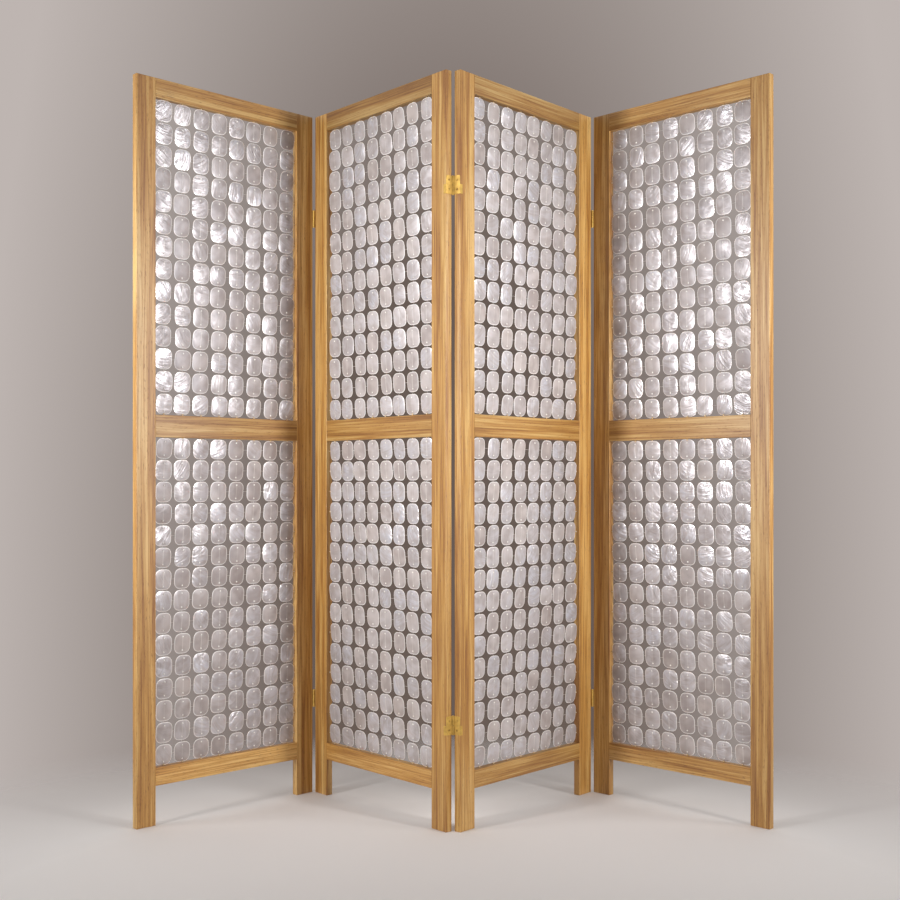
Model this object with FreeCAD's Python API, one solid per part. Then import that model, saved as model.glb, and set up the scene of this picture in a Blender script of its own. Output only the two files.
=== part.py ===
import FreeCAD, Part
import math
import os
from FreeCAD import Placement, Rotation, Vector

os.makedirs("parts", exist_ok=True)

# Four wooden panels stand in a zigzag. Lengths are in millimetres, angles in degrees.
# Each panel is drawn in its own axes: X along its width from its left end, Y from its front face
# to its back, Z up from the floor.

# The frame
PANEL_WIDTH = 525.0
PANEL_HEIGHT = 1800.0
FRAME_THICKNESS = 18.0
STILE_WIDTH = 52.0
TOP_RAIL_HEIGHT = 46.0
MIDDLE_RAIL_HEIGHT = 54.0
BOTTOM_RAIL_HEIGHT = 44.0
MIDDLE_RAIL_BASE = 935.0
LEG_LENGTH = 95.0
ARRIS_RADIUS = 1.2
TENON_LENGTH = 30.0
TENON_SHOULDER = 8.0
TENON_CLEARANCE = 0.1
TENON_THICKNESS = 6.0

# How far each panel turns out of the plane of the folded-flat row
OUTER_PANEL_TURN = 44.0
INNER_PANEL_TURN = 48.0

# The shell plates and the threads that carry them
SHELL_WIDTH = 46.5
SHELL_HEIGHT = 50.0
SHELL_CORNER_RADIUS = 15.5
SHELL_THICKNESS = 1.0
LEAST_GAP_ACROSS = 4.5
LEAST_GAP_DOWN = 2.5
THREAD_WIDTH = 0.8
THREAD_CROSSING_CLEARANCE = 0.1

# The hinges
HINGE_HEIGHT = 44.0
UPPER_HINGE_FROM_TOP = 271.0
LOWER_HINGE_FROM_FLOOR = 251.0
LEAF_THICKNESS = 1.5
LEAF_GAP = 0.8
LEAF_CORNER_RADIUS = 4.0
LIP_WIDTH = 7.0
LIP_THICKNESS = 1.2
BARREL_RADIUS = 3.0
BARREL_CLEARANCE = 0.5
KNUCKLE_GAP = 1.0
PIN_RADIUS = 1.5
PIN_CLEARANCE = 0.05
PIN_HEAD_RADIUS = 2.6
PIN_HEAD_THICKNESS = 1.2
SCREW_RADIUS = 1.5
SCREW_HEAD_RADIUS = 3.0
SCREW_REACH = 16.0
SCREW_INSET = 11.0
SCREW_CLEARANCE = 0.05
RECESS_LENGTH = 3.6
RECESS_WIDTH = 0.8
RECESS_DEPTH = 0.9

# Sizes that follow
OPENING_WIDTH = PANEL_WIDTH - 2 * STILE_WIDTH
TOP_RAIL_BASE = PANEL_HEIGHT - TOP_RAIL_HEIGHT
MIDDLE_RAIL_TOP = MIDDLE_RAIL_BASE + MIDDLE_RAIL_HEIGHT
BOTTOM_RAIL_TOP = LEG_LENGTH + BOTTOM_RAIL_HEIGHT
SHELL_FRONT = (FRAME_THICKNESS - SHELL_THICKNESS) / 2
SHELL_BACK = SHELL_FRONT + SHELL_THICKNESS
HINGE_GAP = 2 * LEAF_THICKNESS + LEAF_GAP
PIN_STANDOFF = BARREL_RADIUS

RAILS = {
    "top": (TOP_RAIL_BASE, TOP_RAIL_HEIGHT),
    "middle": (MIDDLE_RAIL_BASE, MIDDLE_RAIL_HEIGHT),
    "bottom": (LEG_LENGTH, BOTTOM_RAIL_HEIGHT),
}
OPENINGS = {
    "upper": (MIDDLE_RAIL_TOP, TOP_RAIL_BASE),
    "lower": (BOTTOM_RAIL_TOP, MIDDLE_RAIL_BASE),
}
HINGE_CENTRES = {
    "upper": PANEL_HEIGHT - UPPER_HINGE_FROM_TOP,
    "lower": LOWER_HINGE_FROM_FLOOR,
}
SCREW_OFFSETS = (SCREW_INSET - HINGE_HEIGHT / 2, HINGE_HEIGHT / 2 - SCREW_INSET)

TURNS = {
    "left_outer": OUTER_PANEL_TURN,
    "left_inner": -INNER_PANEL_TURN,
    "right_inner": INNER_PANEL_TURN,
    "right_outer": -OUTER_PANEL_TURN,
}
# Each fold joins the right end of one panel to the left end of the next. The pin stands in front
# of the faces at a valley and behind them at the ridge.
FOLDS = {
    "left_valley": ("left_outer", "left_inner", "front"),
    "ridge": ("left_inner", "right_inner", "back"),
    "right_valley": ("right_inner", "right_outer", "front"),
}


def along(turn, point):
    """Turns a point of a panel's plan into the plan of the whole screen."""
    return Rotation(Vector(0, 0, 1), turn).multVec(point)


def pin_in_panel(end, side):
    """Where a pin stands in the plan of a panel, by the end and the side it is on."""
    across = PANEL_WIDTH + HINGE_GAP / 2 if end == "right" else -HINGE_GAP / 2
    depth = -PIN_STANDOFF if side == "front" else FRAME_THICKNESS + PIN_STANDOFF
    return Vector(across, depth, 0)


def panel_corners():
    """Places the panels one after another from the ridge pin, which is the starting point."""
    corners = {}
    corners["left_inner"] = -along(TURNS["left_inner"], pin_in_panel("right", "back"))
    corners["right_inner"] = -along(TURNS["right_inner"], pin_in_panel("left", "back"))
    left_pin = corners["left_inner"] + along(TURNS["left_inner"], pin_in_panel("left", "front"))
    right_pin = corners["right_inner"] + along(TURNS["right_inner"], pin_in_panel("right", "front"))
    corners["left_outer"] = left_pin - along(TURNS["left_outer"], pin_in_panel("right", "front"))
    corners["right_outer"] = right_pin - along(TURNS["right_outer"], pin_in_panel("left", "front"))
    return corners


def plan_depths(corners):
    """Depths of every plan corner of the frames and of the lips turned over their faces."""
    depths = []
    for panel, corner in corners.items():
        for across in (0, PANEL_WIDTH):
            for depth in (0, FRAME_THICKNESS):
                depths.append((corner + along(TURNS[panel], Vector(across, depth, 0))).y)
    for left, right, side in FOLDS.values():
        lip = -LIP_THICKNESS if side == "back" else FRAME_THICKNESS + LIP_THICKNESS
        for panel, across in ((left, PANEL_WIDTH + LEAF_THICKNESS), (right, -LEAF_THICKNESS)):
            depths.append((corners[panel] + along(TURNS[panel], Vector(across, lip, 0))).y)
    return depths


def panel_placements():
    """Placements that put the middle of the screen's plan over the origin."""
    corners = panel_corners()
    depths = plan_depths(corners)
    middle = Vector(0, (min(depths) + max(depths)) / 2, 0)
    upright = Vector(0, 0, 1)
    return {p: Placement(c - middle, Rotation(upright, TURNS[p])) for p, c in corners.items()}


def fold_pin(fold, placements):
    """Where the pin of a fold stands on the floor."""
    left, _, side = FOLDS[fold]
    return placements[left].multVec(pin_in_panel("right", side))


def box(x_range, y_range, z_range):
    low = Vector(x_range[0], y_range[0], z_range[0])
    return Part.makeBox(x_range[1] - low.x, y_range[1] - low.y, z_range[1] - low.z, low)


def mortise(end, base, height):
    """The pocket for one rail's tenon, with its clearance all round."""
    half = TENON_THICKNESS / 2 + TENON_CLEARANCE
    middle = FRAME_THICKNESS / 2
    reach = TENON_LENGTH + TENON_CLEARANCE
    x_range = (STILE_WIDTH - reach, STILE_WIDTH)
    if end == "right":
        x_range = (PANEL_WIDTH - STILE_WIDTH, PANEL_WIDTH - STILE_WIDTH + reach)
    z_low = base + TENON_SHOULDER - TENON_CLEARANCE
    z_high = base + height - TENON_SHOULDER + TENON_CLEARANCE
    return box(x_range, (middle - half, middle + half), (z_low, z_high))


def screw_axes(end):
    """Start and direction of each hinge screw, from the end face of a panel into the stile."""
    face = PANEL_WIDTH if end == "right" else 0
    inward = Vector(-1, 0, 0) if end == "right" else Vector(1, 0, 0)
    for centre in HINGE_CENTRES.values():
        for offset in SCREW_OFFSETS:
            yield Vector(face, FRAME_THICKNESS / 2, centre + offset), inward


def stile(end, hinged):
    """One upright: eased on every edge, mortised for three rails and bored for hinge screws."""
    x_low = 0 if end == "left" else PANEL_WIDTH - STILE_WIDTH
    blank = box((x_low, x_low + STILE_WIDTH), (0, FRAME_THICKNESS), (0, PANEL_HEIGHT))
    blank = blank.makeFillet(ARRIS_RADIUS, blank.Edges)
    cuts = [mortise(end, base, height) for base, height in RAILS.values()]
    if hinged:
        for start, inward in screw_axes(end):
            cuts.append(Part.makeCylinder(SCREW_RADIUS + SCREW_CLEARANCE, SCREW_REACH, start, inward))
    return blank.cut(cuts)


def rail(base, height):
    """One crosspiece between the stiles, with a tenon at each end."""
    x_low = STILE_WIDTH
    x_high = PANEL_WIDTH - STILE_WIDTH
    body = box((x_low, x_high), (0, FRAME_THICKNESS), (base, base + height))
    long_edges = [e for e in body.Edges if abs(e.tangentAt(e.FirstParameter).x) > 0]
    body = body.makeFillet(ARRIS_RADIUS, long_edges)
    y_low = (FRAME_THICKNESS - TENON_THICKNESS) / 2
    z_range = (base + TENON_SHOULDER, base + height - TENON_SHOULDER)
    x_range = (x_low - TENON_LENGTH, x_high + TENON_LENGTH)
    return body.fuse(box(x_range, (y_low, y_low + TENON_THICKNESS), z_range)).removeSplitter()


def columns():
    """Middles of the shell columns across an opening."""
    count = int(OPENING_WIDTH // (SHELL_WIDTH + LEAST_GAP_ACROSS))
    pitch = OPENING_WIDTH / count
    return [STILE_WIDTH + pitch * (i + 0.5) for i in range(count)]


def rows(low, high):
    """Middles of the shell rows up an opening."""
    count = int((high - low) // (SHELL_HEIGHT + LEAST_GAP_DOWN))
    pitch = (high - low) / count
    return [low + pitch * (i + 0.5) for i in range(count)]


def shell_plate():
    """One plate about its own middle: straight sides joined by large round corners."""
    half_width = SHELL_WIDTH / 2
    half_height = SHELL_HEIGHT / 2
    radius = SHELL_CORNER_RADIUS
    diagonal = radius / math.sqrt(2)
    quarter_signs = ((1, 1), (-1, 1), (-1, -1), (1, -1))
    edges = []
    last = None
    first = None
    for sx, sz in quarter_signs:
        centre = Vector(sx * (half_width - radius), 0, sz * (half_height - radius))
        on_side = centre + Vector(sx * radius, 0, 0)
        on_end = centre + Vector(0, 0, sz * radius)
        start, finish = (on_side, on_end) if sx * sz > 0 else (on_end, on_side)
        if last:
            edges.append(Part.makeLine(last, start))
        else:
            first = start
        middle = centre + Vector(sx * diagonal, 0, sz * diagonal)
        edges.append(Part.Arc(start, middle, finish).toShape())
        last = finish
    edges.append(Part.makeLine(last, first))
    outline = Part.Face(Part.Wire(edges))
    return outline.extrude(Vector(0, SHELL_THICKNESS, 0)).translated(Vector(0, SHELL_FRONT, 0))


def shells(low, high):
    plate = shell_plate()
    places = [Vector(x, 0, z) for z in rows(low, high) for x in columns()]
    return Part.makeCompound([plate.translated(place) for place in places])


def threads(low, high):
    """Upright threads along the backs of the shells, and level ones behind those."""
    half = THREAD_WIDTH / 2
    upright_y = (SHELL_BACK, SHELL_BACK + THREAD_WIDTH)
    level_start = upright_y[1] + THREAD_CROSSING_CLEARANCE
    level_y = (level_start, level_start + THREAD_WIDTH)
    x_range = (STILE_WIDTH, PANEL_WIDTH - STILE_WIDTH)
    made = [box((x - half, x + half), upright_y, (low, high)) for x in columns()]
    made += [box(x_range, level_y, (z - half, z + half)) for z in rows(low, high)]
    return Part.makeCompound(made)


def screw(start, inward):
    """A countersunk screw with a cross recess, its head level with the outside of the leaf."""
    top = start - inward * LEAF_THICKNESS
    head = Part.makeCone(SCREW_HEAD_RADIUS, SCREW_RADIUS, LEAF_THICKNESS, top, inward)
    shank = Part.makeCylinder(SCREW_RADIUS, SCREW_REACH, start, inward)
    floor = top + inward * RECESS_DEPTH
    x_range = (min(top.x, floor.x), max(top.x, floor.x))
    reach = RECESS_LENGTH / 2
    half = RECESS_WIDTH / 2
    level_slot = box(x_range, (top.y - reach, top.y + reach), (top.z - half, top.z + half))
    upright_slot = box(x_range, (top.y - half, top.y + half), (top.z - reach, top.z + reach))
    return head.fuse(shank).cut([level_slot, upright_slot]).removeSplitter()


def hinge_screws(panel):
    ends = [end for end in ("left", "right") if is_hinged(panel, end)]
    return Part.makeCompound([screw(*axis) for end in ends for axis in screw_axes(end)])


def is_hinged(panel, end):
    place = 0 if end == "right" else 1
    return any(fold[place] == panel for fold in FOLDS.values())


def leaf(knuckle):
    """The leaf of a left-hand panel at a valley, about the pin and the middle of the hinge.

    The plate lies on the end face of the stile, its knuckle wraps the pin, and its lower half ends
    in a lip turned over the far face of the frame.
    """
    half = HINGE_HEIGHT / 2
    face = -HINGE_GAP / 2
    x_range = (face, face + LEAF_THICKNESS)
    far = PIN_STANDOFF + FRAME_THICKNESS
    clear = BARREL_RADIUS + BARREL_CLEARANCE
    low, high = (-half, -KNUCKLE_GAP / 2) if knuckle == "lower" else (KNUCKLE_GAP / 2, half)
    plate = box(x_range, (clear, far), (-half, half))
    rounded = [e for e in plate.Edges if is_free_corner(e, far, half)]
    plate = plate.makeFillet(LEAF_CORNER_RADIUS, rounded)
    web = box(x_range, (0, far - LEAF_CORNER_RADIUS), (low, high))
    barrel = Part.makeCylinder(BARREL_RADIUS, high - low, Vector(0, 0, low))
    lip = box((face - LIP_WIDTH, x_range[1]), (far, far + LIP_THICKNESS), (-half, 0))
    bore = Part.makeCylinder(PIN_RADIUS + PIN_CLEARANCE, HINGE_HEIGHT, Vector(0, 0, -half))
    holes = [bore]
    for offset in SCREW_OFFSETS:
        top = Vector(x_range[1], PIN_STANDOFF + FRAME_THICKNESS / 2, offset)
        wide = SCREW_HEAD_RADIUS + SCREW_CLEARANCE
        narrow = SCREW_RADIUS + SCREW_CLEARANCE
        holes.append(Part.makeCone(wide, narrow, LEAF_THICKNESS, top, Vector(-1, 0, 0)))
    return plate.fuse([web, barrel, lip]).cut(holes).removeSplitter()


def is_free_corner(edge, far, half):
    """The upper corner edge of a leaf's plate at its far side."""
    ends = [v.Point for v in edge.Vertexes]
    return all(math.isclose(p.y, far) and math.isclose(p.z, half) for p in ends)


def hinge_pin():
    """A plain pin with a flat head over each end of the barrel."""
    half = HINGE_HEIGHT / 2
    shank = Part.makeCylinder(PIN_RADIUS, HINGE_HEIGHT, Vector(0, 0, -half))
    bases = (half, -half - PIN_HEAD_THICKNESS)
    heads = [Part.makeCylinder(PIN_HEAD_RADIUS, PIN_HEAD_THICKNESS, Vector(0, 0, z)) for z in bases]
    return shank.fuse(heads).removeSplitter()


def panel_pieces(panel):
    """Every piece of one panel apart from its hinge leaves, in the panel's own axes."""
    pieces = {}
    for end in ("left", "right"):
        pieces[f"{end}_stile"] = stile(end, is_hinged(panel, end))
    for name, (base, height) in RAILS.items():
        pieces[f"{name}_rail"] = rail(base, height)
    for name, (low, high) in OPENINGS.items():
        pieces[f"{name}_shells"] = shells(low, high)
        pieces[f"{name}_threads"] = threads(low, high)
    pieces["hinge_screws"] = hinge_screws(panel)
    return pieces


def hinge_pieces(side):
    """Two leaves and a pin about the pin, each leaf in the axes of the panel that it is screwed to."""
    pieces = {"left_leaf": leaf("lower"), "right_leaf": leaf("upper").mirror(Vector(), Vector(1, 0, 0))}
    if side == "back":
        pieces = {name: shape.mirror(Vector(), Vector(0, 1, 0)) for name, shape in pieces.items()}
    pieces["pin"] = hinge_pin()
    return pieces


def save(name, shape, placement):
    placed = shape.copy()
    placed.Placement = placement.multiply(placed.Placement)
    placed.exportStep(os.path.join("parts", name + ".step"))
    print(name, len(placed.Solids), "solids, volume", round(placed.Volume), placed.isValid())


def main():
    placements = panel_placements()
    for panel, placement in placements.items():
        for name, shape in panel_pieces(panel).items():
            save(f"{panel}_{name}", shape, placement)
    for fold, (left, right, side) in FOLDS.items():
        print(fold, "pin stands at", fold_pin(fold, placements))
        for level, centre in HINGE_CENTRES.items():
            for name, shape in hinge_pieces(side).items():
                panel, end = (right, "left") if name == "right_leaf" else (left, "right")
                pin = Placement(pin_in_panel(end, side) + Vector(0, 0, centre), Rotation())
                save(f"{fold}_{level}_{name}", shape, placements[panel].multiply(pin))


if __name__ == "__main__":
    main()
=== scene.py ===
# %% [markdown]
# # A folding screen of shells on threads
# Four wooden frames are hinged into a zigzag, and each holds two fields of pearly shell plates
# that hang on threads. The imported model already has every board, hinge and screw at its true
# size, so this lesson keeps those, gives them their finish, and hangs the shells and threads
# again in finer detail. Lengths are in metres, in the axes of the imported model.

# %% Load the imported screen
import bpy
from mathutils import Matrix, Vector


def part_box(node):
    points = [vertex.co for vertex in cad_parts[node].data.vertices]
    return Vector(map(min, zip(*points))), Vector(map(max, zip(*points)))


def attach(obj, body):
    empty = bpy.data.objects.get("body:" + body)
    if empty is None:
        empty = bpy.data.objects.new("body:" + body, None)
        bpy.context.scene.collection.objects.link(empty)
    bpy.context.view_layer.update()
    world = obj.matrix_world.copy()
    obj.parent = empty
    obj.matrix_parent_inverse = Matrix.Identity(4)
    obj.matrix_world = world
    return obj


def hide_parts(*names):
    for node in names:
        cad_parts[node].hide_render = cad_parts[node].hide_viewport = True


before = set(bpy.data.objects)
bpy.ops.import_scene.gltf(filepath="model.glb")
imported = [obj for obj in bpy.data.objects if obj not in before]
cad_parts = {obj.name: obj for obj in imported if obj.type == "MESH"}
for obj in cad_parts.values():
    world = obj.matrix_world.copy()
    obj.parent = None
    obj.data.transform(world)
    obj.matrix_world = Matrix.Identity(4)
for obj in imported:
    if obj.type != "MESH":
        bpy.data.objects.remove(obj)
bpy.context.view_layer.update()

# %% Modules for shapes, places and chance
import math
import random

import bmesh
import bpy
from mathutils import Matrix, Vector

# %% [markdown]
# ## The axes of a panel
# Each panel is turned about the upright, so its pieces are easiest to place in axes that turn
# with it: X across the panel, Y towards its back, Z up. Only the turns are written here. All
# other places are read from the boards themselves, so that what is hung in an opening always
# fits the opening.

# %% Turned axes and the extents of a piece in them
PANEL_TURNS = {"left_outer": 44.0, "left_inner": -48.0, "right_inner": 48.0, "right_outer": -44.0}


def panel_axes(panel):
    return Matrix.Rotation(math.radians(PANEL_TURNS[panel]), 4, "Z")


def extents(panel, piece):
    """Lowest and highest corner of one piece of a panel, in the axes of that panel."""
    back = panel_axes(panel).inverted()
    points = [back @ vertex.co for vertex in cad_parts[f"{panel}_{piece}"].data.vertices]
    low = Vector([min(p[axis] for p in points) for axis in range(3)])
    high = Vector([max(p[axis] for p in points) for axis in range(3)])
    return low, high


for panel in PANEL_TURNS:
    print(panel, "middle rail from", *extents(panel, "middle_rail"))

# %% [markdown]
# ## The camera
# The screen was seen level, from a little below half its height, with a normal lens. The lens
# looks straight along Y, and a small shift sets the picture's centre where it was, so that all
# uprights stay upright. Tilting the camera instead would make them lean together.

# %% The camera
PICTURE_SIZE = 900
AXIS_PIXEL = 453.1
HORIZON_PIXEL = 483.8
LENS = 50.0
SENSOR = 36.0
EYE_HEIGHT = 0.8224
DISTANCE_TO_RIDGE = 2.9588

ridge_low, ridge_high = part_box("ridge_upper_pin")
ridge_y = (ridge_low[1] + ridge_high[1]) / 2
camera_data = bpy.data.cameras.new("camera")
camera_data.lens = LENS
camera_data.sensor_width = SENSOR
camera_data.shift_x = (PICTURE_SIZE / 2 - AXIS_PIXEL) / PICTURE_SIZE
camera_data.shift_y = (HORIZON_PIXEL - PICTURE_SIZE / 2) / PICTURE_SIZE
camera = bpy.data.objects.new("camera", camera_data)
camera.location = (0, ridge_y - DISTANCE_TO_RIDGE, EYE_HEIGHT)
camera.rotation_euler = (math.radians(90), 0, 0)
bpy.context.collection.objects.link(camera)
bpy.context.scene.camera = camera
bpy.context.scene.view_settings.view_transform = "Standard"
print("camera at", tuple(camera.location), "shift", camera_data.shift_x, camera_data.shift_y)

# %% [markdown]
# ## Helpers for materials
# A material is a small tree of nodes. Writing each node out takes many lines, so these helpers
# add one node, set its values and join its inputs in one call. Colours are written as they look
# on a screen, from 0 to 255, and turned into the linear values that the shaders work with.

# %% Colours and single nodes


def linear(red, green, blue):
    """A screen colour as the linear colour of a shader socket."""
    shares = [value / 255 for value in (red, green, blue)]
    return [s / 12.92 if s <= 0.04045 else ((s + 0.055) / 1.055) ** 2.4 for s in shares] + [1.0]


def put(tree, kind, inputs=None, **settings):
    """Adds a node. An input is a plain value, or the output of another node to join it to."""
    node = tree.nodes.new("ShaderNode" + kind)
    for name, value in settings.items():
        setattr(node, name, value)
    for name, value in (inputs or {}).items():
        if isinstance(value, bpy.types.NodeSocket):
            tree.links.new(value, node.inputs[name])
        else:
            node.inputs[name].default_value = value
    return node


print("a mid grey of 188 is", round(linear(188, 188, 188)[0], 3), "in linear light")

# %% Short forms for the nodes that are used most


def calc(tree, operation, *terms):
    return put(tree, "Math", dict(enumerate(terms)), operation=operation).outputs[0]


def scaled(tree, vector, factors):
    return put(tree, "VectorMath", {0: vector, 1: factors}, operation="MULTIPLY").outputs[0]


def blend(tree, share, first, second):
    """Adds two values, each weighed by its share of the whole."""
    return calc(tree, "ADD", calc(tree, "MULTIPLY", first, share), calc(tree, "MULTIPLY", second, 1 - share))


def noise(tree, vector, **inputs):
    wanted = {"Vector": vector, "Scale": 1.0}
    wanted.update({name.capitalize(): value for name, value in inputs.items()})
    return put(tree, "TexNoise", wanted).outputs[0]


def remap(tree, value, low, high, new_low=0.0, new_high=1.0):
    """Spreads a range of a value over a new range, and stops at the ends."""
    ranges = {"Value": value, "From Min": low, "From Max": high, "To Min": new_low, "To Max": new_high}
    return put(tree, "MapRange", ranges).outputs[0]


def mix(tree, share, first, second):
    """Mixes two colours. The colour sockets of the Mix node are its seventh and eighth inputs."""
    return put(tree, "Mix", {0: share, 6: first, 7: second}, data_type="RGBA").outputs[2]


def ramp(tree, value, stops):
    """A colour ramp of (place, colour) stops."""
    node = put(tree, "ValToRGB", {0: value})
    elements = node.color_ramp.elements
    while len(elements) < len(stops):
        elements.new(1.0)
    for element, (place, colour) in zip(elements, stops):
        element.position = place
        element.color = colour
    return node.outputs[0]


# %% Whole materials and groups


def new_material(name, **constants):
    """A material with one Principled shader, whose constant sockets are set here."""
    material = bpy.data.materials.new(name)
    material.use_nodes = True
    tree = material.node_tree
    shader = tree.nodes["Principled BSDF"]
    for socket, value in constants.items():
        shader.inputs[socket.replace("_", " ")].default_value = value
    return material, tree, shader


def finish_surface(tree, shader, colour, roughness, height, depth):
    """Joins colour, roughness and a bump of that depth to the shader."""
    bump = put(tree, "Bump", {"Height": height, "Distance": depth})
    tree.links.new(colour, shader.inputs["Base Color"])
    tree.links.new(roughness, shader.inputs["Roughness"])
    tree.links.new(bump.outputs[0], shader.inputs["Normal"])


def new_group(name, inputs, outputs):
    """A node group with named sockets. Returns the group and its two end nodes."""
    group = bpy.data.node_groups.new(name, "ShaderNodeTree")
    for label, kind in inputs.items():
        group.interface.new_socket(label, in_out="INPUT", socket_type="NodeSocket" + kind)
    for label, kind in outputs.items():
        group.interface.new_socket(label, in_out="OUTPUT", socket_type="NodeSocket" + kind)
    return group, group.nodes.new("NodeGroupInput"), group.nodes.new("NodeGroupOutput")


# %% [markdown]
# ## The studio
# A plain pale floor runs out into a plain backdrop. The floor is a disc whose outer part fades,
# so no edge or horizon shows, while it still takes the screen's shadow. The backdrop is the
# world's own colour, with a painted shadow of the screen: it is darker behind the screen, so that
# the gaps between the shells read. It is shown to camera, mirror and glass rays only. All other
# rays meet a soft, even light, which is stronger from behind the screen, because shells let light
# through.

# %% The backdrop
BACKDROP = linear(190, 181, 177)
# Colour of the painted shadow of the screen on the backdrop.
PAINTED_SHADOW_BACKDROP = linear(104, 91, 84)
SHADE_STRETCH = (4.2, -1.5, 1.9)
SHADE_SHIFT = (0.0, 1.5, 0.19)
SHADE_EDGE = (0.5, 1.5)
AMBIENT = 0.23
BACKLIGHT = 0.75
BACKLIGHT_RISE = (0.0, 0.6)

world = bpy.data.worlds.new("studio")
world.use_nodes = True
sky = world.node_tree
rays = put(sky, "LightPath")
shown = calc(sky, "MAXIMUM", rays.outputs["Is Camera Ray"], rays.outputs["Is Glossy Ray"])
shown = calc(sky, "MAXIMUM", shown, rays.outputs["Is Transmission Ray"])
way = put(sky, "TexCoord").outputs["Generated"]
behind = put(sky, "SeparateXYZ", {0: way}).outputs["Y"]
fill = remap(sky, behind, *BACKLIGHT_RISE, AMBIENT, BACKLIGHT)
strength = calc(sky, "MAXIMUM", shown, fill)
white = linear(255, 255, 255)
back = sky.nodes["Background"]
# The darker patch behind the screen is a painted shadow of the screen, set by ray direction.
shade_way = put(sky, "VectorMath", {0: way, 1: SHADE_STRETCH, 2: SHADE_SHIFT}, operation="MULTIPLY_ADD")
off_shade = put(sky, "VectorMath", {0: shade_way.outputs[0]}, operation="LENGTH").outputs["Value"]
backdrop = mix(sky, remap(sky, off_shade, *SHADE_EDGE), PAINTED_SHADOW_BACKDROP, BACKDROP)
sky.links.new(mix(sky, shown, white, backdrop), back.inputs["Color"])
sky.links.new(strength, back.inputs["Strength"])
bpy.context.scene.world = world
print("backdrop and even light with", len(sky.nodes), "nodes")

# %% The floor
FLOOR = linear(236, 231, 228)
FLOOR_ROUGHNESS = 0.9
FLOOR_RADIUS = 5.0
FLOOR_SEGMENTS = 96
POOL_MIDDLE = (0, -0.9, 0)
FADE_FROM = 1.0
FADE_TO = 1.9

floor_material, tree, shader = new_material("studio_floor", Roughness=FLOOR_ROUGHNESS, Base_Color=FLOOR)
place = put(tree, "TexCoord").outputs["Object"]
radius = put(tree, "VectorMath", {0: place, 1: POOL_MIDDLE}, operation="DISTANCE").outputs["Value"]
tree.links.new(remap(tree, radius, FADE_FROM, FADE_TO, 1.0, 0.0), shader.inputs["Alpha"])

bm = bmesh.new()
bmesh.ops.create_circle(bm, cap_ends=True, radius=FLOOR_RADIUS, segments=FLOOR_SEGMENTS)
mesh = bpy.data.meshes.new("studio_floor")
bm.to_mesh(mesh)
bm.free()
mesh.materials.append(floor_material)
studio_floor = bpy.data.objects.new("studio_floor", mesh)
bpy.context.collection.objects.link(studio_floor)
print("floor disc of", FLOOR_RADIUS, "m, fading from", FADE_FROM, "to", FADE_TO, "m round", POOL_MIDDLE)

# %% [markdown]
# ## The lights
# A tall, narrow soft light stands on each side, in line with the ridge and the far valley. From
# there it grazes past the ridge, so the deep inner stiles of the outer panels fall into shade
# while their neighbours stay lit, which is what makes the zigzag read. A broader card further
# round on each side gives the shells something bright to mirror.

# %% Soft lights on both sides
LAMPS = {
    "key": {"place": (2.1, -1.765, 1.12), "size": (0.27, 1.0), "power": 10.8, "spread": 70.0},
    "card": {"place": (4.05, -1.4, 1.85), "size": (1.2, 1.1), "power": 17.0, "spread": 120.0},
}
LIT_POINT = Vector((0.1, 0.1, 1.12))

for name, lamp in LAMPS.items():
    for side, sign in (("left", -1), ("right", 1)):
        data = bpy.data.lights.new(f"{side}_{name}", "AREA")
        data.shape = "RECTANGLE"
        data.size, data.size_y = lamp["size"]
        data.energy = lamp["power"]
        data.spread = math.radians(lamp["spread"])
        light = bpy.data.objects.new(f"{side}_{name}", data)
        mirror = Vector((sign, 1, 1))
        light.location = mirror * Vector(lamp["place"])
        light.rotation_euler = (mirror * LIT_POINT - light.location).to_track_quat("-Z", "Y").to_euler()
        light.visible_camera = False
        bpy.context.collection.objects.link(light)
        print(light.name, "at", tuple(round(value, 2) for value in light.location))

# %% [markdown]
# ## Wood
# The boards are a golden, open-grained wood under a satin lacquer. Its look comes from three
# layers that all stretch along the grain: bands of light and dark, finer streaks, and short
# dark pores, with a faint stain of handling over them. The stretching is one node group that
# every board uses. Each board's own material turns the axes, so that the grain runs up the stiles
# and along the rails, and sets the board's shade: a small random spread for every board, with the
# rails darker by fixed factors, most on the inner panels and at their top.

# %% The grain, as a group
BAND_STRETCH = (58.0, 58.0, 1.7)
STREAK_STRETCH = (330.0, 330.0, 6.0)
PORE_STRETCH = (430.0, 430.0, 85.0)
STAIN_STRETCH = (14.0, 14.0, 5.0)
BAND_SHARE = 0.5
TONE_RANGE = (0.36, 0.64)
PORE_RANGE = (0.60, 0.72)
DARK_STREAK_RANGE = (0.62, 0.40)
STAIN_RANGE = (0.52, 0.74)
STREAK_RELIEF = 0.4

grain, start, end = new_group(
    "wood_grain", {"Vector": "Vector"},
    {"Tone": "Float", "Pores": "Float", "Stain": "Float", "Height": "Float"},
)
vector = start.outputs["Vector"]
bands = noise(grain, scaled(grain, vector, BAND_STRETCH), detail=3.0, distortion=0.7)
streaks = noise(grain, scaled(grain, vector, STREAK_STRETCH), detail=5.0, roughness=0.62)
specks = noise(grain, scaled(grain, vector, PORE_STRETCH), detail=1.0)
pores = remap(grain, specks, *PORE_RANGE)
pores = calc(grain, "MULTIPLY", pores, remap(grain, streaks, *DARK_STREAK_RANGE))
tone = blend(grain, BAND_SHARE, bands, streaks)
stain = noise(grain, scaled(grain, vector, STAIN_STRETCH), detail=3.0, roughness=0.6)
relief = calc(grain, "SUBTRACT", calc(grain, "MULTIPLY", streaks, STREAK_RELIEF), pores)
grain.links.new(remap(grain, tone, *TONE_RANGE), end.inputs["Tone"])
grain.links.new(remap(grain, stain, *STAIN_RANGE), end.inputs["Stain"])
grain.links.new(pores, end.inputs["Pores"])
grain.links.new(relief, end.inputs["Height"])
print("wood grain group with", len(grain.nodes), "nodes")

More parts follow.
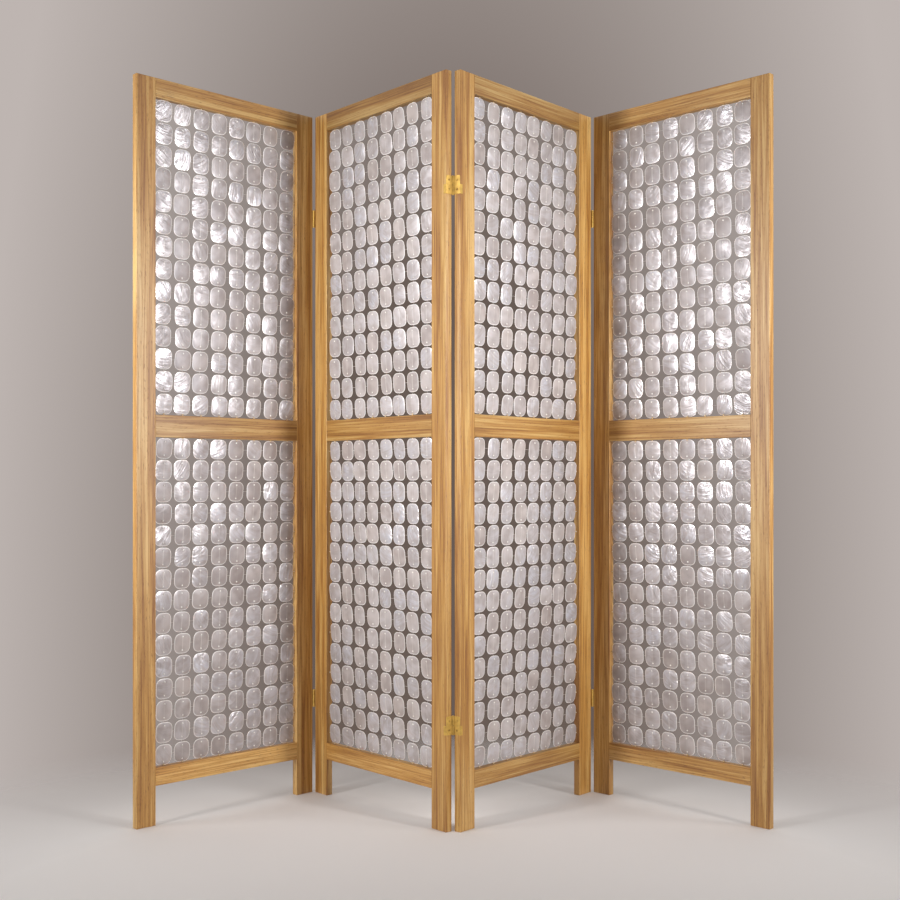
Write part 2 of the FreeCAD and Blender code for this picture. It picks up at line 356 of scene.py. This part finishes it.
# %% One material for each board
DARK_WOOD = (142, 92, 37)
MID_WOOD = (183, 134, 66)
LIGHT_WOOD = (214, 175, 110)
PORE_WOOD = linear(104, 63, 24)
STAINED_WOOD = linear(126, 78, 32)
END_WOOD = linear(128, 84, 42)
TONE_STOPS = (0.10, 0.50, 0.92)
STAIN_SHARE = 0.28
PORE_SHARE = 0.60
END_SHARE = 0.7
END_RANGE = (0.7, 0.95)
WOOD_ROUGHNESS = (0.50, 0.38)
GRAIN_DEPTH = 0.00025
CUT_SEED = 11
TINT_SPREAD = 0.05
GRAIN_TURNS = {"stile": 0.0, "rail": math.radians(-90)}
BOARDS = ("left_stile", "right_stile", "top_rail", "middle_rail", "bottom_rail")
# Fixed darkening of the rails: the inner panels' rails darker, the top rail most.
RAIL_SHADES = {
    "outer": {"top_rail": 0.96, "middle_rail": 0.97, "bottom_rail": 1.02},
    "inner": {"top_rail": 0.82, "middle_rail": 0.88, "bottom_rail": 0.96},
}


def wood(panel, board, chance):
    """The material of one board, in its own shade and with its own cut through the grain."""
    kind = board.split("_")[1]
    usual = RAIL_SHADES[panel.split("_")[1]].get(board, 1.0)
    shade = usual * (1 + chance.uniform(-TINT_SPREAD, TINT_SPREAD))
    tones = zip(TONE_STOPS, (DARK_WOOD, MID_WOOD, LIGHT_WOOD))
    stops = [(at, linear(*[min(255, value * shade) for value in colour])) for at, colour in tones]
    material, tree, shader = new_material(f"{panel}_{board}_wood", Coat_Weight=0.24, Coat_Roughness=0.28)
    coordinates = put(tree, "TexCoord")
    axes = put(tree, "Mapping", {
        "Vector": coordinates.outputs["Object"],
        "Location": [chance.uniform(-1, 1) for _ in range(3)],
        "Rotation": (0, GRAIN_TURNS[kind], math.radians(PANEL_TURNS[panel])),
    }, vector_type="TEXTURE")
    layers = put(tree, "Group", node_tree=grain)
    tree.links.new(axes.outputs[0], layers.inputs["Vector"])
    colour = ramp(tree, layers.outputs["Tone"], stops)
    colour = mix(tree, calc(tree, "MULTIPLY", layers.outputs["Stain"], STAIN_SHARE), colour, STAINED_WOOD)
    colour = mix(tree, calc(tree, "MULTIPLY", layers.outputs["Pores"], PORE_SHARE), colour, PORE_WOOD)
    if kind == "stile":
        upward = put(tree, "SeparateXYZ", {0: coordinates.outputs["Normal"]}).outputs["Z"]
        end_grain = remap(tree, calc(tree, "ABSOLUTE", upward), *END_RANGE, 0.0, END_SHARE)
        colour = mix(tree, end_grain, colour, END_WOOD)
    roughness = remap(tree, layers.outputs["Tone"], 0.0, 1.0, *WOOD_ROUGHNESS)
    finish_surface(tree, shader, colour, roughness, layers.outputs["Height"], GRAIN_DEPTH)
    return material


def dress(node, material):
    """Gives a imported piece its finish. Its shape stays as it is."""
    node.data.materials.clear()
    node.data.materials.append(material)


chance = random.Random(CUT_SEED)
for panel in PANEL_TURNS:
    for board in BOARDS:
        dress(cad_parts[f"{panel}_{board}"], wood(panel, board, chance))
print("boards dressed:", len(PANEL_TURNS) * len(BOARDS))

# %% [markdown]
# ## Brass
# The hinges and screws are plain brass that has been handled for years: bright where it is
# rubbed, duller and browner in patches. One group gives that tarnish, and the leaves, pins and
# screws use it with their own amount.

# %% The tarnish, as a group
BRIGHT_BRASS = linear(208, 172, 90)
DULL_BRASS = linear(124, 90, 38)
PATCH_STRETCH = (90.0, 90.0, 90.0)
SCRATCH_STRETCH = (900.0, 900.0, 120.0)
PATCH_RANGE = (0.36, 0.62)
BRASS_ROUGHNESS = (0.46, 0.62)

tarnish, start, end = new_group(
    "tarnish", {"Vector": "Vector", "Amount": "Float"},
    {"Color": "Color", "Roughness": "Float", "Height": "Float"},
)
vector = start.outputs["Vector"]
patches = noise(tarnish, scaled(tarnish, vector, PATCH_STRETCH), detail=4.0, roughness=0.6)
scratches = noise(tarnish, scaled(tarnish, vector, SCRATCH_STRETCH), detail=2.0)
share = calc(tarnish, "MULTIPLY", remap(tarnish, patches, *PATCH_RANGE), start.outputs["Amount"])
tarnish.links.new(mix(tarnish, share, BRIGHT_BRASS, DULL_BRASS), end.inputs["Color"])
tarnish.links.new(remap(tarnish, share, 0.0, 1.0, *BRASS_ROUGHNESS), end.inputs["Roughness"])
tarnish.links.new(scratches, end.inputs["Height"])
print("tarnish group with", len(tarnish.nodes), "nodes")

# %% Brass for leaves, pins and screws
LEAF_TARNISH = 0.35
PIN_TARNISH = 0.3
SCREW_TARNISH = 0.95
SCRATCH_DEPTH = 0.00004


def brass(name, amount):
    material, tree, shader = new_material(name, Metallic=0.65)
    layers = put(tree, "Group", node_tree=tarnish)
    tree.links.new(put(tree, "TexCoord").outputs["Object"], layers.inputs["Vector"])
    layers.inputs["Amount"].default_value = amount
    outputs = layers.outputs
    finish_surface(tree, shader, outputs["Color"], outputs["Roughness"], outputs["Height"], SCRATCH_DEPTH)
    return material


leaf_brass = brass("leaf_brass", LEAF_TARNISH)
pin_brass = brass("pin_brass", PIN_TARNISH)
screw_brass = brass("screw_brass", SCREW_TARNISH)
for name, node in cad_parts.items():
    if name.endswith("_leaf"):
        dress(node, leaf_brass)
    elif name.endswith("_pin"):
        dress(node, pin_brass)
    elif name.endswith("_hinge_screws"):
        dress(node, screw_brass)
print("brass on", sum(name.endswith(("_leaf", "_pin", "_screws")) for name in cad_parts), "nodes")

# %% [markdown]
# ## How the shells hang
# A field is a grid of plates, but nothing strung by hand is a perfect grid. Each column swings
# a little from side to side on its thread, each plate is turned and tilted a little by its
# knots, with its upper edge leaning forward, and no two are cut to quite the same size, most of
# them a little narrow. These places are worked out once, because the plates and the knots both
# need them.

# %% Places of the plates
COLUMNS = 8
ROWS = {"upper": 14, "lower": 15}
FIELD_RAILS = {"upper": ("middle_rail", "top_rail"), "lower": ("bottom_rail", "middle_rail")}
HANG_SEED = 23
SWING = 0.0018
SWING_WAVES = (2, 5)
SLIP_ACROSS = 0.0009
SLIP_UP = 0.0004
ROLL = math.radians(2.2)
YAW = math.radians(3.5)
LEAN = math.radians(4.5)
PITCH = math.radians(2.0)
USUAL_WIDTH = 0.96
USUAL_HEIGHT = 0.995
SIZE_SPREAD = 0.02


def opening(panel, field):
    """Lowest and highest corner of an opening, in the axes of its panel."""
    below, above = FIELD_RAILS[field]
    low = Vector((extents(panel, "left_stile")[1].x, 0, extents(panel, below)[1].z))
    high = Vector((extents(panel, "right_stile")[0].x, 0, extents(panel, above)[0].z))
    plates_low, plates_high = extents(panel, f"{field}_shells")
    low.y, high.y = plates_low.y, plates_high.y
    return low, high


def grid(panel, field):
    """Places across and up of the columns and rows of an opening."""
    low, high = opening(panel, field)
    across = [low.x + (high.x - low.x) * (i + 0.5) / COLUMNS for i in range(COLUMNS)]
    up = [low.z + (high.z - low.z) * (i + 0.5) / ROWS[field] for i in range(ROWS[field])]
    return across, up


def plate_places(panel, field, chance):
    """One matrix for each plate, column by column, from its own axes to those of the panel."""
    low, high = opening(panel, field)
    across, up = grid(panel, field)
    places = []
    for x in across:
        phase = chance.uniform(0, math.tau)
        waves = chance.uniform(*SWING_WAVES) * math.pi / (high.z - low.z)
        for z in up:
            swing = SWING * math.sin(phase + waves * z) + chance.uniform(-SLIP_ACROSS, SLIP_ACROSS)
            middle = Vector((x + swing, (low.y + high.y) / 2, z + chance.uniform(-SLIP_UP, SLIP_UP)))
            roll = Matrix.Rotation(chance.uniform(-ROLL, ROLL), 4, "Y")
            yaw = Matrix.Rotation(chance.uniform(-YAW, YAW), 4, "Z")
            pitch = Matrix.Rotation(LEAN + chance.uniform(-PITCH, PITCH), 4, "X")
            width = USUAL_WIDTH + chance.uniform(-SIZE_SPREAD, SIZE_SPREAD)
            height = USUAL_HEIGHT + chance.uniform(-SIZE_SPREAD, SIZE_SPREAD)
            size = Matrix.Diagonal((width, 1, height, 1))
            places.append(Matrix.Translation(middle) @ yaw @ pitch @ roll @ size)
    return places


FIELDS = [(panel, field) for panel in PANEL_TURNS for field in ROWS]
chance = random.Random(HANG_SEED)
PLACES = {key: plate_places(*key, chance) for key in FIELDS}
print("plates to hang:", sum(len(places) for places in PLACES.values()))

# %% [markdown]
# ## One shell plate
# A plate is cut from a flat, window-like shell: a rounded rectangle about a millimetre thick,
# slightly crowned, its rim eased by wear. It starts as one square face. Bevelling the four
# corner points rounds it, one inset gives the rim and a second one the swell, poking the middle
# lets it rise to the crown, and extruding the outline gives the thickness. A few dozen faces are
# enough, because it is hung 928 times.

# %% The plate
PLATE_WIDTH = 0.0465
PLATE_HEIGHT = 0.050
PLATE_CORNER = 0.0155
PLATE_THICKNESS = 0.001
CORNER_STEPS = 4
RIM_WIDTH = 0.0024
RIM_DROP = 0.0005
SWELL_WIDTH = 0.009
SWELL = 0.0007
CROWN = 0.0012


def add_plate(bm, rim, wall):
    """Adds a plate about its own middle, upright, with its front towards -Y."""
    bmesh.ops.create_grid(bm, x_segments=1, y_segments=1, size=0.5)
    bmesh.ops.scale(bm, vec=(PLATE_WIDTH, PLATE_HEIGHT, 1), verts=bm.verts)
    bmesh.ops.bevel(
        bm, geom=bm.verts[:], offset=PLATE_CORNER, offset_type="OFFSET", segments=CORNER_STEPS,
        profile=0.5, affect="VERTICES", material=-1,
    )
    front = bm.faces[:]
    bmesh.ops.inset_region(bm, faces=front, thickness=RIM_WIDTH, use_boundary=True, use_even_offset=True)
    bmesh.ops.inset_region(bm, faces=front, thickness=SWELL_WIDTH, depth=SWELL, use_even_offset=True)
    crown = bmesh.ops.poke(bm, faces=front)["verts"][0]
    crown.co.z = CROWN
    outline = [edge for edge in bm.edges if edge.is_boundary]
    for vertex in {vertex for edge in outline for vertex in edge.verts}:
        vertex.co.z = -RIM_DROP
        vertex[rim] = 1.0
    walls = bmesh.ops.extrude_edge_only(bm, edges=outline)["geom"]
    for part in walls:
        if isinstance(part, bmesh.types.BMFace):
            part[wall] = 1.0
    back_edges = [part for part in walls if isinstance(part, bmesh.types.BMEdge) and part.is_boundary]
    for vertex in {vertex for edge in back_edges for vertex in edge.verts}:
        vertex.co.z = -PLATE_THICKNESS
    bmesh.ops.edgeloop_fill(bm, edges=back_edges)
    bmesh.ops.recalc_face_normals(bm, faces=bm.faces)
    for face in bm.faces:
        face.smooth = True
    for edge in outline + back_edges:
        edge.smooth = False
    upright = Matrix.Rotation(math.radians(90), 3, "X")
    bmesh.ops.rotate(bm, cent=(0, 0, 0), matrix=upright, verts=bm.verts)
    half = Vector((0, PLATE_THICKNESS / 2, 0))
    bmesh.ops.translate(bm, vec=-half, verts=bm.verts)


bm = bmesh.new()
add_plate(bm, bm.verts.layers.float.new("rim"), bm.faces.layers.float.new("wall"))
print("one plate has", len(bm.faces), "faces")
bm.free()

# %% [markdown]
# ## The fields of shells
# The plates of one opening become one piece. Each copy carries what its finish needs: a flat map
# of the plate, a second map measured from the point where that shell began to grow, and a few
# numbers of its own for shade, pattern, lustre and how clearly the thread shows through it.

# %% Hang the plates
GROWTH_START = (0.95, 2.0)
GROWTH_LEAN = math.radians(50)
OWN_NUMBERS = ("seed", "shade", "lustre", "thread_shows")
THREAD_RARITY = 1.8


def map_plate(faces, layers, chance):
    """Fills in the two maps and the plate's own numbers, while it is still about its middle."""
    angle = math.radians(90) + chance.gauss(0, GROWTH_LEAN)
    beak = Vector((math.cos(angle), math.sin(angle))) * chance.uniform(*GROWTH_START)
    level = Matrix.Rotation(math.pi + angle, 2).inverted()
    own = {
        "seed": chance.random(), "shade": chance.uniform(-1, 1),
        "lustre": chance.random(), "thread_shows": chance.random() ** THREAD_RARITY,
    }
    for face in faces:
        for name, value in own.items():
            face[layers[name]] = value
        for loop in face.loops:
            place = Vector((loop.vert.co.x, loop.vert.co.z))
            loop[layers["plate"]].uv = (place.x / PLATE_WIDTH + 0.5, place.y / PLATE_HEIGHT + 0.5)
            loop[layers["growth"]].uv = level @ (place / PLATE_HEIGHT - beak)


def copy_of(bm, pattern):
    """Duplicates a pattern inside its bmesh, and returns the new faces and vertices."""
    made = bmesh.ops.duplicate(bm, geom=pattern)["geom"]
    faces = [part for part in made if isinstance(part, bmesh.types.BMFace)]
    verts = [part for part in made if isinstance(part, bmesh.types.BMVert)]
    return faces, verts


def drop(bm, pattern):
    """Deletes a pattern, once all its copies are made."""
    first = [part for part in pattern if isinstance(part, bmesh.types.BMVert)]
    bmesh.ops.delete(bm, geom=first, context="VERTS")


def finish_piece(bm, name, panel, material):
    """Turns the finished bmesh to its panel and makes it a piece that rides on it."""
    bmesh.ops.transform(bm, matrix=panel_axes(panel), verts=bm.verts)
    mesh = bpy.data.meshes.new(name)
    bm.to_mesh(mesh)
    bm.free()
    mesh.materials.append(material)
    piece = bpy.data.objects.new(name, mesh)
    bpy.context.collection.objects.link(piece)
    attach(piece, f"{panel}_panel")
    return piece


def hang_plates(panel, field, material, chance):
    bm = bmesh.new()
    rim = bm.verts.layers.float.new("rim")
    layers = {name: bm.loops.layers.uv.new(name) for name in ("plate", "growth")}
    wall = bm.faces.layers.float.new("wall")
    layers.update({name: bm.faces.layers.float.new(name) for name in OWN_NUMBERS})
    add_plate(bm, rim, wall)
    pattern = bm.verts[:] + bm.edges[:] + bm.faces[:]
    for place in PLACES[panel, field]:
        faces, verts = copy_of(bm, pattern)
        map_plate(faces, layers, chance)
        bmesh.ops.transform(bm, matrix=place, verts=verts)
    drop(bm, pattern)
    piece = finish_piece(bm, f"{panel}_{field}_shell_field", panel, material)
    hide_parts(f"{panel}_{field}_shells")
    return piece


print("each plate carries its own", *OWN_NUMBERS)

# %% [markdown]
# ## Pearl
# The inside of such a shell is grey and slightly see-through, with a mauve cast, and breaks the
# light into white, faintly blue streaks. Fine growth lines curve round the point where the shell
# began, and rays fan out from it. Both are noise stretched in polar measure about that point,
# so they follow the shell and not the picture. The lustre lies in clouds and differs from plate
# to plate. It makes a plate glossier and more mirror-like, and where it is strong the colour is
# painted paler and bluer too, a painted sheen. Between its holes the thread behind a plate shows
# through as a pale line. The rim is paler, and the cut edge is painted dark, a painted shade.

# %% Growth lines, rays and clouds
LINE_STRETCH = (9.0, 2.2, 61.0)
RAY_STRETCH = (1.0, 7.0, 83.0)
CLOUD_STRETCH = (1.8, 2.4, 47.0)
RAY_SHARE = 0.25
PEARL_GLINT = linear(232, 238, 255)


def attribute(tree, name):
    return put(tree, "Attribute", attribute_name=name).outputs["Fac"]


pearl, tree, shader = new_material(
    "pearl", Specular_IOR_Level=0.7, Specular_Tint=PEARL_GLINT,
    Subsurface_Weight=0.9, Subsurface_Radius=(1.0, 0.9, 0.85), Subsurface_Scale=PLATE_THICKNESS,
)
seed = attribute(tree, "seed")
growth_map = put(tree, "UVMap", uv_map="growth").outputs[0]
reach = put(tree, "VectorMath", {0: growth_map}, operation="LENGTH").outputs["Value"]
parts = put(tree, "SeparateXYZ", {0: growth_map})
angle = calc(tree, "ARCTAN2", parts.outputs["Y"], parts.outputs["X"])


def polar(tree, along, around, shift):
    """Noise coordinates stretched along and around the growth, different for every plate."""
    inputs = {
        0: calc(tree, "MULTIPLY", reach, along),
        1: calc(tree, "MULTIPLY", angle, around),
        2: calc(tree, "MULTIPLY", seed, shift),
    }
    return put(tree, "CombineXYZ", inputs).outputs[0]


lines = noise(tree, polar(tree, *LINE_STRETCH), detail=2.0, distortion=0.5)
rays = noise(tree, polar(tree, *RAY_STRETCH), detail=3.0, roughness=0.6)
clouds = noise(tree, polar(tree, *CLOUD_STRETCH), detail=1.0)
streaks = blend(tree, RAY_SHARE, rays, lines)
print("growth pattern with", len(tree.nodes), "nodes")

# %% The body and its lustre
CLOUD_RANGE = (0.35, 0.60)
STREAK_RANGE = (0.38, 0.56)
LEAST_LUSTRE = 0.35
PAINTED_SHEEN_SHARE = 0.7
OWN_SHADE = 0.14
BODY_RANGE = (0.32, 0.72)
DEEP_PEARL = linear(164, 152, 147)
PALE_PEARL = linear(189, 178, 173)
# Colour of the painted sheen.
PAINTED_SHEEN_PEARL = linear(222, 224, 234)

in_clouds = remap(tree, clouds, *CLOUD_RANGE, LEAST_LUSTRE, 1.0)
in_streaks = remap(tree, streaks, *STREAK_RANGE, LEAST_LUSTRE, 1.0)
own_lustre = attribute(tree, "lustre")
lustre = calc(tree, "MULTIPLY", calc(tree, "MULTIPLY", own_lustre, in_clouds), in_streaks)
own_shade = calc(tree, "MULTIPLY", attribute(tree, "shade"), OWN_SHADE)
body = remap(tree, calc(tree, "ADD", clouds, own_shade), *BODY_RANGE)
colour = mix(tree, body, DEEP_PEARL, PALE_PEARL)
# Where the lustre is strong the colour is painted paler and bluer: a painted sheen, beside the real gloss
# set below.
colour = mix(tree, calc(tree, "MULTIPLY", lustre, PAINTED_SHEEN_SHARE), colour, PAINTED_SHEEN_PEARL)
print("body and lustre added,", len(tree.nodes), "nodes so far")

# %% The thread behind the plate, the rim and the cut edge
RIM_PEARL = linear(246, 241, 237)
# Colour of the painted shade on the cut edge.
PAINTED_SHADE_EDGE_PEARL = linear(122, 108, 102)
THREAD_GLOW = linear(232, 228, 222)
THREAD_LINE = (0.010, 0.036)
THREAD_LINE_ENDS = (0.28, 0.34)
THREAD_LINE_SHARE = 0.48
RIM_RANGE = (0.15, 0.75)
RIM_SHARE = 0.9

plate_map = put(tree, "SeparateXYZ", {0: put(tree, "UVMap", uv_map="plate").outputs[0]})
off_middle = calc(tree, "ABSOLUTE", calc(tree, "SUBTRACT", plate_map.outputs["X"], 0.5))
above_middle = calc(tree, "ABSOLUTE", calc(tree, "SUBTRACT", plate_map.outputs["Y"], 0.5))
thread_line = remap(tree, off_middle, *THREAD_LINE, THREAD_LINE_SHARE, 0.0)
thread_line = calc(tree, "MULTIPLY", thread_line, remap(tree, above_middle, *THREAD_LINE_ENDS, 1.0, 0.0))
thread_line = calc(tree, "MULTIPLY", thread_line, attribute(tree, "thread_shows"))
colour = mix(tree, thread_line, colour, THREAD_GLOW)
rim_share = remap(tree, attribute(tree, "rim"), *RIM_RANGE, 0.0, RIM_SHARE)
colour = mix(tree, rim_share, colour, RIM_PEARL)
# The cut edge of each plate is painted dark: painted shade along the outline.
colour = mix(tree, attribute(tree, "wall"), colour, PAINTED_SHADE_EDGE_PEARL)
print("thread, rim and cut edge added,", len(tree.nodes), "nodes so far")

# %% Gloss and relief, and the fields hung in their openings
FULL_LUSTRE = 0.7
MIRROR_FROM = 0.1
MIRROR_SHARE = (0.04, 0.45)
PEARL_ROUGHNESS = (0.42, 0.28)
CLOUD_RELIEF = 0.6
RELIEF_RISE = (0.1, 0.8)
LEAST_RELIEF = 0.15
PEARL_DEPTH = 0.0020
SHELL_SEED = 37

mirror_share = remap(tree, lustre, MIRROR_FROM, FULL_LUSTRE, *MIRROR_SHARE)
tree.links.new(mirror_share, shader.inputs["Metallic"])
gloss = remap(tree, lustre, 0.0, FULL_LUSTRE, *PEARL_ROUGHNESS)
relief = calc(tree, "ADD", streaks, calc(tree, "MULTIPLY", clouds, CLOUD_RELIEF))
relief = calc(tree, "MULTIPLY", relief, remap(tree, own_lustre, *RELIEF_RISE, LEAST_RELIEF, 1.0))
finish_surface(tree, shader, colour, gloss, relief, PEARL_DEPTH)

chance = random.Random(SHELL_SEED)
for panel, field in FIELDS:
    piece = hang_plates(panel, field, pearl, chance)
    print(piece.name, "with", len(piece.data.polygons), "faces")

# %% [markdown]
# ## Threads and knots
# Two sets of threads carry the plates. An upright thread follows the backs of the plates in its
# column, and comes forward through two holes in each, where a knot holds it. Level threads run
# behind and keep the rows in line. A thread is a small hexagon, extruded from point to point. A
# knot is a small ball flattened against the shell, drawn tight and paler than the thread, so its
# points carry a mark for the finish. The holes are too small to see past the knots, so the plates
# are left whole. Both sets end at small eyes in the wood, so their ends are worked out first.

# %% The thread finish
THREAD_LIGHT = linear(204, 195, 187)
THREAD_DARK = linear(170, 159, 151)
KNOT = linear(244, 241, 236)
TWIST_SCALE = 700.0
TWIST_SHARE = 0.6
TWIST_DEPTH = 0.0002
FIBRE_STRETCH = (2500.0, 2500.0, 2500.0)
FIBRE_RANGE = (0.3, 0.7)
THREAD_ROUGHNESS = (0.6, 0.8)

thread, tree, shader = new_material("thread", Sheen_Weight=0.2)
place = put(tree, "TexCoord").outputs["Object"]
ply = {"Vector": place, "Scale": TWIST_SCALE, "Distortion": 1.0}
twist = put(tree, "TexWave", ply, bands_direction="DIAGONAL").outputs[1]
fibres = noise(tree, scaled(tree, place, FIBRE_STRETCH), detail=2.0)
strand = blend(tree, TWIST_SHARE, twist, fibres)
colour = mix(tree, strand, THREAD_DARK, THREAD_LIGHT)
colour = mix(tree, attribute(tree, "knot"), colour, KNOT)
roughness = remap(tree, fibres, *FIBRE_RANGE, *THREAD_ROUGHNESS)
finish_surface(tree, shader, colour, roughness, strand, TWIST_DEPTH)
print("thread finish with", len(tree.nodes), "nodes")

# %% Where the threads end
EYE_RADIUS = 0.0018
EYE_WIRE = 0.0005
EYE_STEM = 0.003
FRONT_DEPTH = -0.0012
BACK_DEPTH = 0.0010
SIDE_EYE_DEPTH = 0.0004


def thread_ends(panel, field):
    """Middles of the eyes: (low end, high end) for each column, then for each row."""
    low, high = opening(panel, field)
    across, up = grid(panel, field)
    middle = (low.y + high.y) / 2
    off = EYE_RADIUS + EYE_WIRE
    front, side = middle + FRONT_DEPTH - EYE_WIRE, middle + SIDE_EYE_DEPTH
    columns = [(Vector((x, front, low.z + off)), Vector((x, front, high.z - off))) for x in across]
    rows = [(Vector((low.x + off, side, z)), Vector((high.x - off, side, z))) for z in up]
    return columns, rows


columns, rows = thread_ends("left_outer", "upper")
print("an upright runs from", columns[0][0], "to", columns[0][1])

# %% The threads of one opening
THREAD_RADIUS = 0.0005
THREAD_SIDES = 6
HOLE_FROM_MIDDLE = 0.017
HOLE_SLANT = 0.0008
EDGE_FROM_MIDDLE = 0.0245
KNOT_RADIUS = 0.0023
KNOT_FLATNESS = 0.5
TIE_RADIUS = 0.0014
LEVEL_SLANT = Vector((0.008, 0.0022, 0))


def add_thread(bm, points, turn):
    """Extrudes a small hexagon, turned to face along the thread, from point to point."""
    foot = Matrix.Translation(points[0]) @ turn
    ring = bmesh.ops.create_circle(
        bm, cap_ends=True, radius=THREAD_RADIUS, segments=THREAD_SIDES, matrix=foot
    )["verts"]
    cap = list(ring[0].link_faces)
    for previous, point in zip(points, points[1:]):
        made = bmesh.ops.extrude_face_region(bm, geom=cap)["geom"]
        verts = [part for part in made if isinstance(part, bmesh.types.BMVert)]
        bmesh.ops.translate(bm, vec=point - previous, verts=verts)
        bmesh.ops.delete(bm, geom=cap, context="FACES_ONLY")
        cap = [part for part in made if isinstance(part, bmesh.types.BMFace)]


def add_ball(bm, place, radius, flatness):
    squash = Matrix.Diagonal((1, flatness, 1, 1))
    made = bmesh.ops.create_icosphere(bm, subdivisions=1, radius=radius, matrix=place @ squash)
    for vert in made["verts"]:
        vert[bm.verts.layers.float["knot"]] = 1.0


def string_field(panel, field, material):
    columns, rows = thread_ends(panel, field)
    hole = Vector((0, 0, HOLE_FROM_MIDDLE))
    slant = Vector((0, 0, HOLE_SLANT))
    edge = Vector((0, 0, EDGE_FROM_MIDDLE))
    front = Vector((0, FRONT_DEPTH, 0))
    behind = Vector((0, BACK_DEPTH, 0))
    route = [behind - edge]
    for end in (-hole, hole):
        route += [behind + end - slant, front + end, behind + end + slant]
    route += [behind + edge]
    bm = bmesh.new()
    bm.verts.layers.float.new("knot")
    for column, (foot, top) in enumerate(columns):
        points = [foot]
        for place in PLACES[panel, field][column * ROWS[field]:(column + 1) * ROWS[field]]:
            points += [place @ point for point in route]
            for end in (-hole, hole):
                add_ball(bm, place @ Matrix.Translation(front + end), KNOT_RADIUS, KNOT_FLATNESS)
        add_thread(bm, points + [top], Matrix())
    for start, finish in rows:
        behind_plates = [start + LEVEL_SLANT, finish + LEVEL_SLANT * Vector((-1, 1, 1))]
        add_thread(bm, [start, *behind_plates, finish], Matrix.Rotation(math.radians(90), 4, "Y"))
    for end in [end for pair in columns + rows for end in pair]:
        add_ball(bm, Matrix.Translation(end), TIE_RADIUS, 1.0)
    bmesh.ops.recalc_face_normals(bm, faces=bm.faces)
    for face in bm.faces:
        face.smooth = True
    piece = finish_piece(bm, f"{panel}_{field}_strings", panel, material)
    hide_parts(f"{panel}_{field}_threads")
    return piece


for panel, field in FIELDS:
    piece = string_field(panel, field, thread)
    print(piece.name, "with", len(piece.data.polygons), "faces")

# %% [markdown]
# ## Eyes for the thread ends
# Each thread is tied to a small brass eye, driven into the edge of the stile or rail: a ring of
# wire on a short stem. The ring is a circle of six points spun once round, and the stem a small
# cylinder. One eye is made with its stem upwards, then copied and turned to face its wood.

# %% The eyes
EYE_STEPS = 8
EYE_SIDES = 6
STEM_TURNS = {"down": 180.0, "up": 0.0, "left": -90.0, "right": 90.0}


def add_eye(bm):
    """Adds an eye about the middle of its ring, with the stem towards +Z."""
    side = Matrix.Translation((EYE_RADIUS, 0, 0))
    wire = bmesh.ops.create_circle(bm, radius=EYE_WIRE, segments=EYE_SIDES, matrix=side)["verts"]
    edges = list({edge for vertex in wire for edge in vertex.link_edges})
    bmesh.ops.spin(
        bm, geom=wire + edges, cent=(0, 0, 0), axis=(0, 1, 0), angle=math.tau, steps=EYE_STEPS,
        use_merge=True,
    )
    middle = Matrix.Translation((0, 0, EYE_RADIUS + EYE_STEM / 2))
    bmesh.ops.create_cone(
        bm, cap_ends=True, segments=EYE_SIDES, radius1=EYE_WIRE, radius2=EYE_WIRE, depth=EYE_STEM,
        matrix=middle,
    )
    bmesh.ops.recalc_face_normals(bm, faces=bm.faces)
    for face in bm.faces:
        face.smooth = True


def drive_eyes(panel, field, material):
    columns, rows = thread_ends(panel, field)
    ends = [(pair[0], "down") for pair in columns] + [(pair[1], "up") for pair in columns]
    ends += [(pair[0], "left") for pair in rows] + [(pair[1], "right") for pair in rows]
    bm = bmesh.new()
    add_eye(bm)
    pattern = bm.verts[:] + bm.edges[:] + bm.faces[:]
    for end, wood_side in ends:
        turn = Matrix.Rotation(math.radians(STEM_TURNS[wood_side]), 4, "Y")
        bmesh.ops.transform(bm, matrix=Matrix.Translation(end) @ turn, verts=copy_of(bm, pattern)[1])
    drop(bm, pattern)
    return finish_piece(bm, f"{panel}_{field}_eyes", panel, material)


for panel, field in FIELDS:
    piece = drive_eyes(panel, field, pin_brass)
    print(piece.name, "with", len(piece.data.polygons), "faces")
